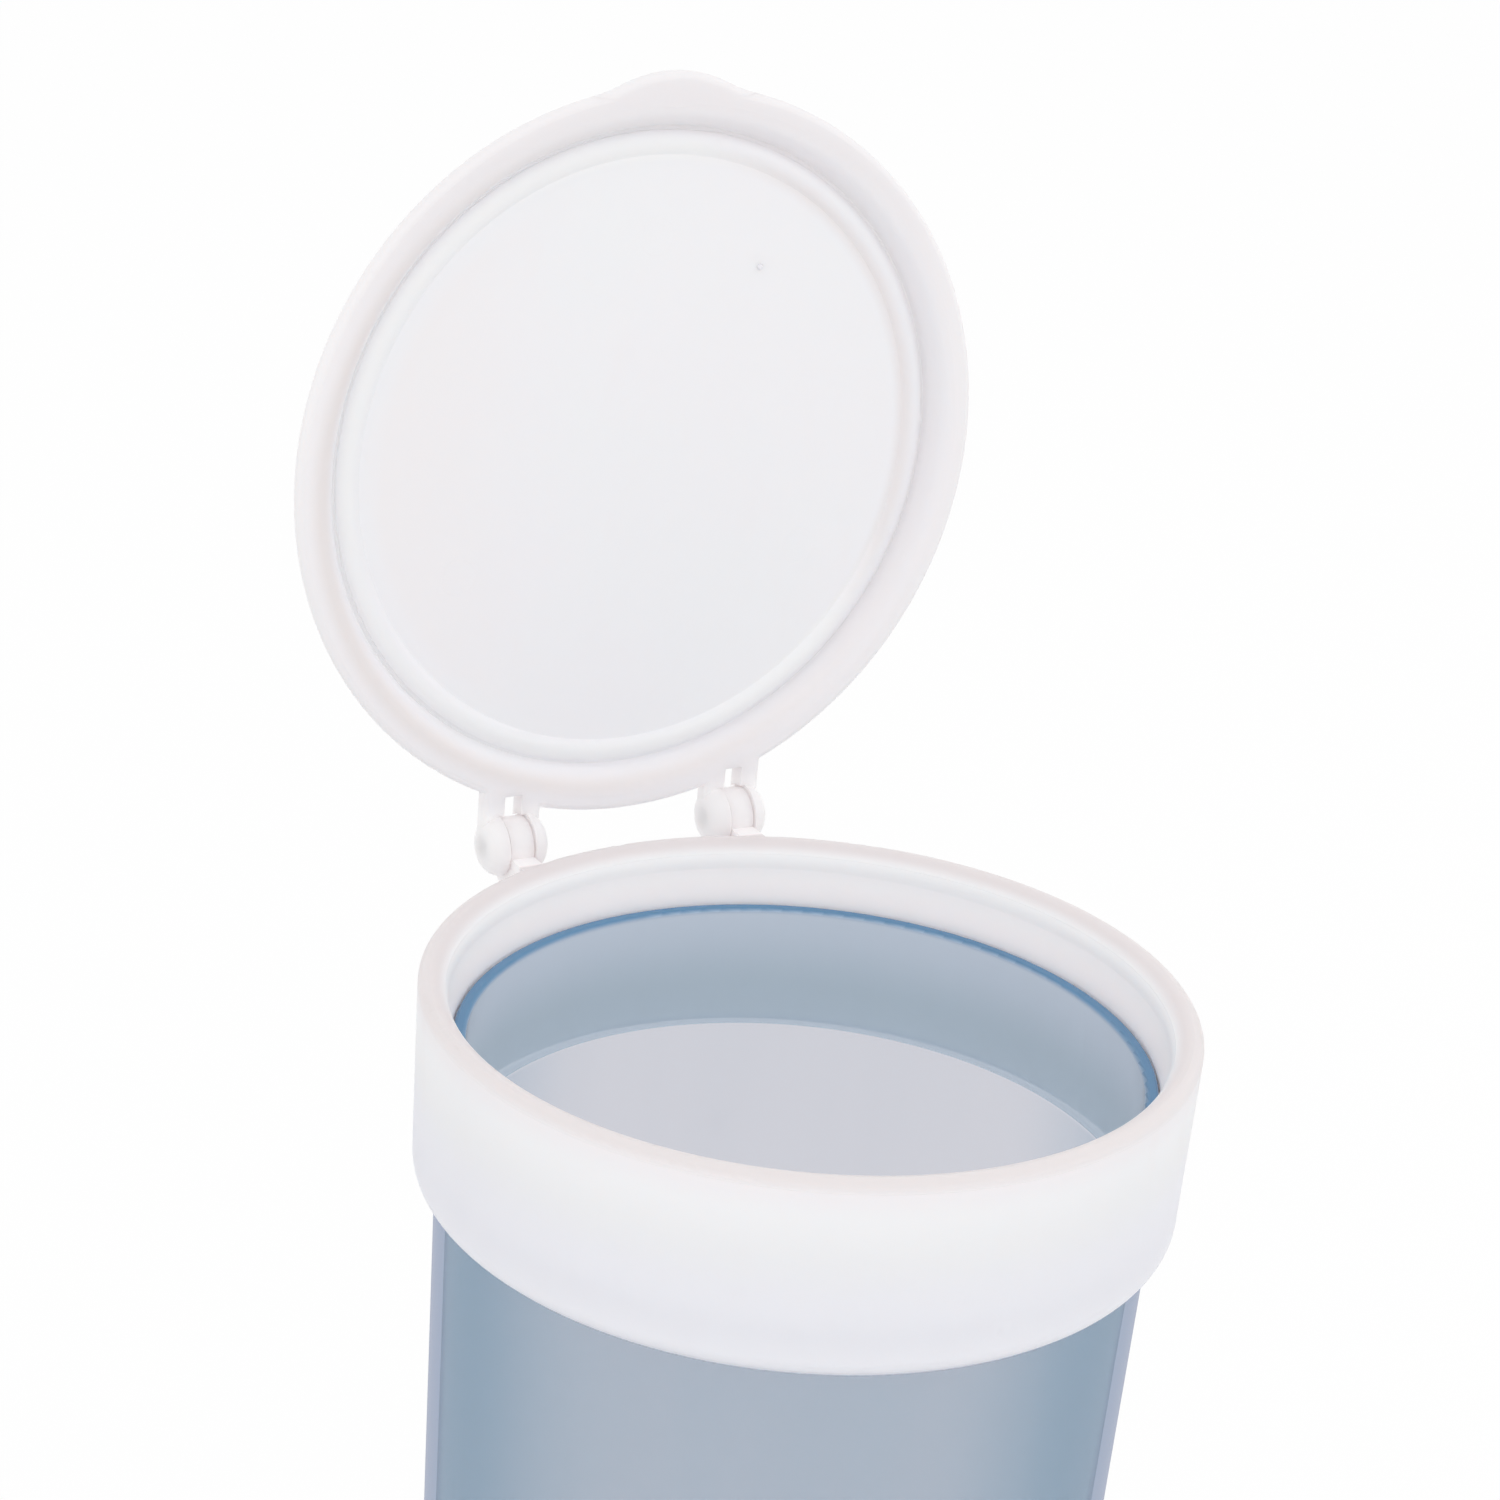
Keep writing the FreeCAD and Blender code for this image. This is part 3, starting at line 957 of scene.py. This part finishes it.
@dataclass
class BottleBody:
    """The blue body, with raised figures beside its graduation bars."""

    finish: ClearBlue = field(default_factory=ClearBlue)
    top_radius: float = 46.5
    wall: float = 1.6
    floor_top: float = 3.6
    fill_step: float = 0.25
    mark_count: int = 8
    mark_volume: int = 100
    text_size: float = 5.67
    text_bevel: float = 0.06
    text_steps: int = 3
    figure_relief: float = 0.3
    figure_right: float = 10.6
    unit_left: float = 22.6
    merge_reach: float = 1e-6

    def wall_radius(self, height: float) -> float:
        """Outer radius of the wall.

        Args:
            height: The height in millimetres.

        Returns:
            The radius in millimetres.
        """
        return self.top_radius - (COLLAR_FOOT_Z / MM - height) * WALL_DRAFT

    def fill_height(self, volume: float) -> float:
        """Height up to which the tapered inside holds a volume, counted in the steps that the bars follow.

        Args:
            volume: The volume in millilitres.

        Returns:
            The height in millimetres.
        """
        level = self.floor_top
        held = 0.0
        while held < volume * MM3_PER_ML:
            held += math.pi * (self.wall_radius(level) - self.wall) ** 2 * self.fill_step
            level += self.fill_step
        return level

    def build(self) -> None:
        """Dresses the body and adds the figures."""
        blue = self.finish.material()
        dress_node("bottle_body", blue)
        level = self.floor_top
        for index in range(1, self.mark_count + 1):
            volume = index * self.mark_volume
            level = self.fill_height(volume)
            self.figure(str(volume), level, self.figure_right, "RIGHT", f"figure_{volume}", blue)
        self.figure("ml", level, self.unit_left, "LEFT", "figure_unit", blue)

    def figure(
        self, text: str, level: float, edge: float, side: str, name: str, material: bpy.types.Material
    ) -> None:
        """Models raised figures and wraps them on the wall.

        Args:
            text: What they say.
            level: The height of their middle in millimetres.
            edge: Where they end or begin, round the wall from the front, in millimetres.
            side: The side of the text that stands at the edge, RIGHT or LEFT.
            name: The piece's name.
            material: Its material.
        """
        deselect()
        bpy.ops.object.text_add(location=(0, 0, 0))
        piece = bpy.context.object
        piece.data.body = text
        piece.data.align_x = side
        piece.data.align_y = "CENTER"
        piece.data.size = self.text_size
        piece.data.extrude = self.figure_relief
        piece.data.resolution_u = self.text_steps
        piece.data.bevel_depth = self.text_bevel
        piece.data.bevel_resolution = 1
        only(piece)
        bpy.ops.object.convert(target="MESH")
        mesh = piece.data
        for vertex in mesh.vertices:
            across, up, proud = vertex.co
            height = level + up
            radius = self.wall_radius(height) + proud
            turn = (across + edge) / self.wall_radius(level)
            vertex.co = Vector((radius * math.sin(turn), -radius * math.cos(turn), height)) * MM
        only(piece)
        bpy.ops.object.mode_set(mode="EDIT")
        bpy.ops.mesh.select_all(action="SELECT")
        bpy.ops.mesh.remove_doubles(threshold=self.merge_reach)
        bpy.ops.mesh.normals_make_consistent(inside=False)
        bpy.ops.object.mode_set(mode="OBJECT")
        finish_piece(piece, name, material, Rider.BOTTLE)


@dataclass
class Collar:
    """The thick white collar and the seal inside it."""

    finish: CollarWhite = field(default_factory=CollarWhite)
    rubber: SealRubber = field(default_factory=SealRubber)

    def build(self) -> None:
        """Dresses the collar and the seal."""
        dress_node("collar", self.finish.material())
        dress_node("collar_seal", self.rubber.material())


@dataclass
class Lid:
    """The hinged lid, with the small gate pip that the mould leaves inside."""

    finish: LidWhite = field(default_factory=LidWhite)
    pip_place: Vector = field(default_factory=lambda: Vector((15.92, 56.386, 292.40)) * MM)
    pip_radius: float = 0.55 * MM
    pip_top_share: float = 0.55
    pip_height: float = 0.22 * MM
    pip_sides: int = 24
    pip_round: float = 0.06 * MM
    smooth_angle: float = math.radians(40)

    def build(self) -> None:
        """Dresses the lid and adds the pip, which is too small for light to spread inside it."""
        dress_node("lid", self.finish.material())
        self.pip(LidWhite(name="pip_white_lid", glow=0.0).material())

    def pip(self, material: bpy.types.Material) -> None:
        """Models the pip: a low cone with a round top, standing on the panel.

        Args:
            material: Its material.
        """
        deselect()
        bpy.ops.mesh.primitive_cone_add(
            vertices=self.pip_sides,
            radius1=self.pip_radius,
            radius2=self.pip_radius * self.pip_top_share,
            depth=self.pip_height * 2,
            location=self.pip_place,
            rotation=(math.pi / 2, 0, 0),
        )
        piece = bpy.context.object
        settle(piece)
        bpy.ops.object.mode_set(mode="EDIT")
        bpy.ops.mesh.select_all(action="SELECT")
        bpy.ops.mesh.bevel(offset=self.pip_round, segments=2, affect="EDGES")
        bpy.ops.mesh.normals_make_consistent(inside=False)
        bpy.ops.object.mode_set(mode="OBJECT")
        bpy.ops.object.shade_smooth_by_angle(angle=self.smooth_angle)
        finish_piece(piece, "lid_pip", material, Rider.LID)


@dataclass
class Hinge:
    """The two hinge pins."""

    finish: PinPlastic = field(default_factory=PinPlastic)

    def build(self) -> None:
        """Dresses the pins."""
        white = self.finish.material()
        for side in ("left", "right"):
            dress_node("hinge_pin_" + side, white)


# --------------------------------------------------------------------- the studio


@dataclass
class Studio:
    """A pale floor, a pale surround and soft lamps."""

    floor_size: float = 6.0
    floor_drop: float = 0.2 * MM
    floor_colour: Colour = (0.90, 0.90, 0.90)
    floor_glow: float = 1.01
    floor_seen: float = 0.90
    surround: float = 0.91
    lamp_size: float = 0.9
    aim: Vector = field(default_factory=lambda: Vector((0, 0, 0.22)))
    key_place: Vector = field(default_factory=lambda: Vector((-0.55, -0.75, 1.15)))
    key_power: float = 1.6
    fill_place: Vector = field(default_factory=lambda: Vector((0.95, -0.35, 0.7)))
    fill_power: float = 0.8

    def build(self) -> None:
        """Builds the floor, the world and the lamps."""
        scene = bpy.context.scene
        scene.view_settings.view_transform = "Standard"
        self.floor()
        self.world()
        self.lamp("key", self.key_place, self.key_power)
        self.lamp("fill", self.fill_place, self.fill_power)

    def seen(self, g: Graph) -> Signal:
        """1 where the camera, a mirror or a clear wall looks, 0 for plain light.

        Args:
            g: The graph to build in.

        Returns:
            The mask.
        """
        outputs = g.node("ShaderNodeLightPath").socket.node.outputs
        names = ("Is Camera Ray", "Is Glossy Ray", "Is Transmission Ray")
        camera, glossy, clear = (Signal(g, outputs[name]) for name in names)
        return camera.most(glossy).most(clear)

    def floor(self) -> None:
        """Adds the floor, which stays white where it is seen and keeps the shadow."""
        material, g = new_material("floor_white")
        diffuse = g.node("ShaderNodeBsdfDiffuse", inputs={"Color": self.floor_colour})
        glow = g.node("ShaderNodeEmission", inputs={"Color": WHITE, "Strength": self.floor_glow})
        g.surface(g.mix(self.seen(g) * self.floor_seen, diffuse, glow))
        deselect()
        bpy.ops.mesh.primitive_plane_add(size=self.floor_size, location=(0, 0, -self.floor_drop))
        floor = bpy.context.object
        floor.name = "floor"
        floor.data.materials.append(material)

    def world(self) -> None:
        """Adds the surround."""
        world = bpy.data.worlds.new("surround")
        bpy.context.scene.world = world
        world.use_nodes = True
        g = Graph(world.node_tree)
        strength = self.surround + self.seen(g) * (1.0 - self.surround)
        sky = g.node("ShaderNodeBackground", inputs={"Color": WHITE, "Strength": strength})
        g.node("ShaderNodeOutputWorld", inputs={"Surface": sky})

    def lamp(self, name: str, place: Vector, power: float) -> None:
        """Adds a square soft lamp that looks at the mouth.

        Args:
            name: Its name.
            place: Where it hangs.
            power: Its power in watts.
        """
        data = bpy.data.lights.new(name, "AREA")
        data.shape = "SQUARE"
        data.size = self.lamp_size
        data.energy = power
        lamp = bpy.data.objects.new(name, data)
        turn = (self.aim - place).to_track_quat("-Z", "Y").to_matrix().to_4x4()
        lamp.matrix_world = Matrix.Translation(place) @ turn
        bpy.context.scene.collection.objects.link(lamp)


@dataclass
class Camera:
    """The camera: a view from the front left, above the mouth."""

    place: Vector = field(default_factory=lambda: Vector((-0.2189, -0.3446, 0.4077)))
    heading: float = math.radians(-30.92)
    dip: float = math.radians(21.67)
    roll: float = math.radians(5.265)
    lens: float = 85.15
    sensor: float = 36.0

    def build(self) -> None:
        """Adds the camera and makes it the scene's own."""
        data = bpy.data.cameras.new("camera")
        data.lens = self.lens
        data.sensor_width = self.sensor
        camera = bpy.data.objects.new("camera", data)
        bpy.context.scene.collection.objects.link(camera)
        turn = Matrix.Rotation(self.heading, 4, "Z") @ Matrix.Rotation(math.pi / 2 - self.dip, 4, "X")
        turn = turn @ Matrix.Rotation(self.roll, 4, "Z")
        camera.matrix_world = Matrix.Translation(self.place) @ turn
        bpy.context.scene.camera = camera


def main() -> None:
    """Builds the bottle and the studio round it."""
    logging.basicConfig(level=logging.INFO, format="%(message)s")
    Camera().build()
    Studio().build()
    for assembly in (BottleBody(), Collar(), Lid(), Hinge()):
        assembly.build()


if __name__ == "__main__":
    main()
